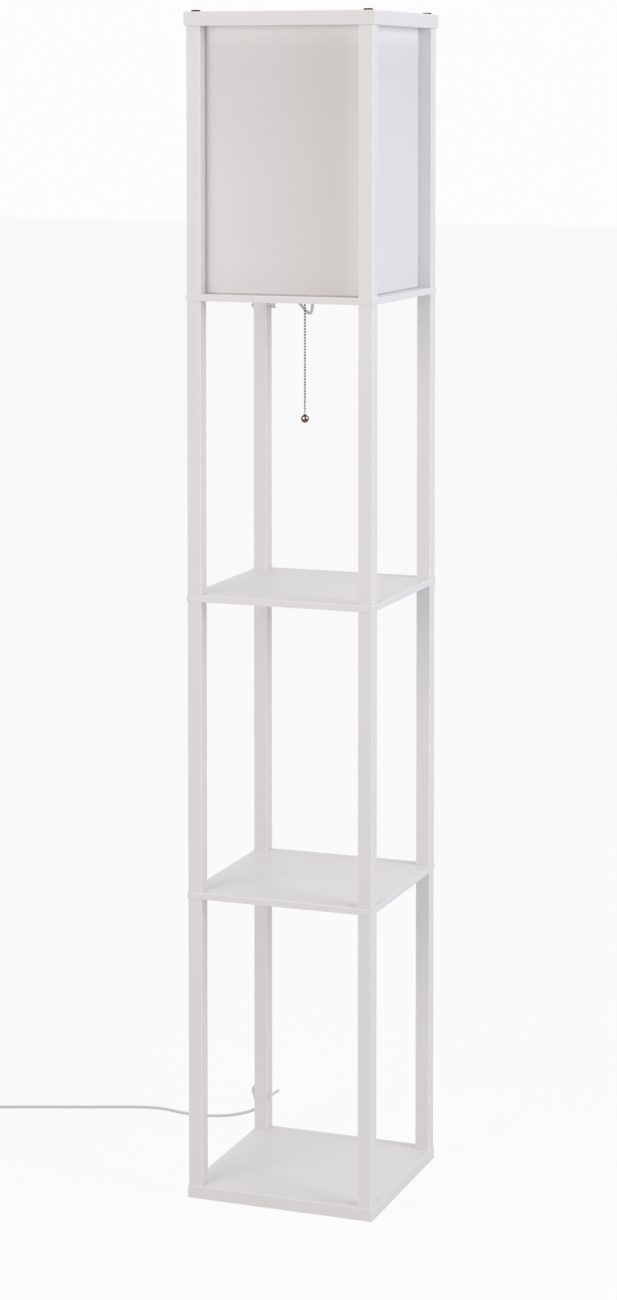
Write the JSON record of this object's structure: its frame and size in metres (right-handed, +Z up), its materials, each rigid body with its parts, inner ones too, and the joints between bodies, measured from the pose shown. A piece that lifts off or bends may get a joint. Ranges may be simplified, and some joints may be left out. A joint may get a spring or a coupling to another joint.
{
  "type": "shelf floor lamp",
  "caption": "Tall square floor lamp: slim posts carry open shelf bays, with a cloth box shade between the posts above them, a ball pull chain and a mains lead to a plug.",
  "frame": {"origin": "centre of the base board's underside, on the floor", "axes": "+Z up along the posts, -Y out of the face seen first, +X to its right"},
  "size_m": [0.7212, 0.3229, 1.6022],
  "materials": {
    "white_board": "white foil on fibreboard",
    "white_post": "white foil on fibreboard",
    "white_rail": "white foil on fibreboard",
    "plated_steel": "zinc plated",
    "black_bolt": "black oxide",
    "shade_cloth": "white cloth on stiff film",
    "white_wire": "white coated wire",
    "white_plastic": "moulded white",
    "holder_ceramic": "white ceramic",
    "contact_brass": "plain",
    "bulb_contact": "black insulator",
    "bulb_metal": "plain",
    "opal_glass": "opal",
    "chain_brass": "brass plated",
    "white_lead": "soft white sheath",
    "white_tie": "white film",
    "white_plug": "moulded white"
  },
  "bodies": {
    "frame": {"base_board": "white_board", "shelf_board_lower": "white_board", "shelf_board_middle": "white_board", "lamp_board": "white_board", "post_bottom_front_left": "white_post", "post_bottom_front_right": "white_post", "post_bottom_rear_left": "white_post", "post_bottom_rear_right": "white_post", "post_middle_front_left": "white_post", "post_middle_front_right": "white_post", "post_middle_rear_left": "white_post", "post_middle_rear_right": "white_post", "post_upper_front_left": "white_post", "post_upper_front_right": "white_post", "post_upper_rear_left": "white_post", "post_upper_rear_right": "white_post", "post_shade_front_left": "white_post", "post_shade_front_right": "white_post", "post_shade_rear_left": "white_post", "post_shade_rear_right": "white_post", "top_rail_front": "white_rail", "top_rail_right": "white_rail", "top_rail_rear": "white_rail", "top_rail_left": "white_rail", "post_inserts": "plated_steel", "shelf_studs": "plated_steel", "foot_bolts": "black_bolt", "top_bolts": "black_bolt", "shade_skin": "shade_cloth", "shade_lower_ring": "white_wire", "shade_upper_ring": "white_wire", "holder_base": "white_plastic", "holder_screws": "plated_steel", "holder_cover": "white_plastic", "holder_core": "holder_ceramic", "thread_shell": "contact_brass", "centre_contact": "contact_brass", "bulb_tip": "bulb_contact", "bulb_cap": "bulb_metal", "bulb_globe": "opal_glass", "switch_block": "white_plastic", "lead_run": "white_lead", "lead_free": "white_lead", "lead_coil": "white_lead", "twist_tie": "white_tie", "plug_body": "white_plug", "plug_pins": "contact_brass"},
    "pull": {"pull_plunger": "white_plastic", "chain_top": "chain_brass"},
    "chain_swivel": {"chain_link": "chain_brass"},
    "chain": {"chain_lower": "chain_brass", "chain_bell": "chain_brass", "chain_ball": "chain_brass"}
  },
  "joints": [
    {"name": "switch_pull", "type": "slide", "parent": "frame", "child": "pull", "axis": [0, 0, -1], "range_m": [0, 0.0085], "stiffness_N_per_m": 300, "springref_m": -0.008},
    {"name": "chain_swing_front_back", "type": "hinge", "parent": "pull", "child": "chain_swivel", "pos_m": [-0.005, -0.019, 1.215], "axis": [1, 0, 0], "range_deg": [-30, 30]},
    {"name": "chain_swing_left_right", "type": "hinge", "parent": "chain_swivel", "child": "chain", "pos_m": [-0.005, -0.019, 1.211], "axis": [0, 1, 0], "range_deg": [-30, 30]}
  ]
}
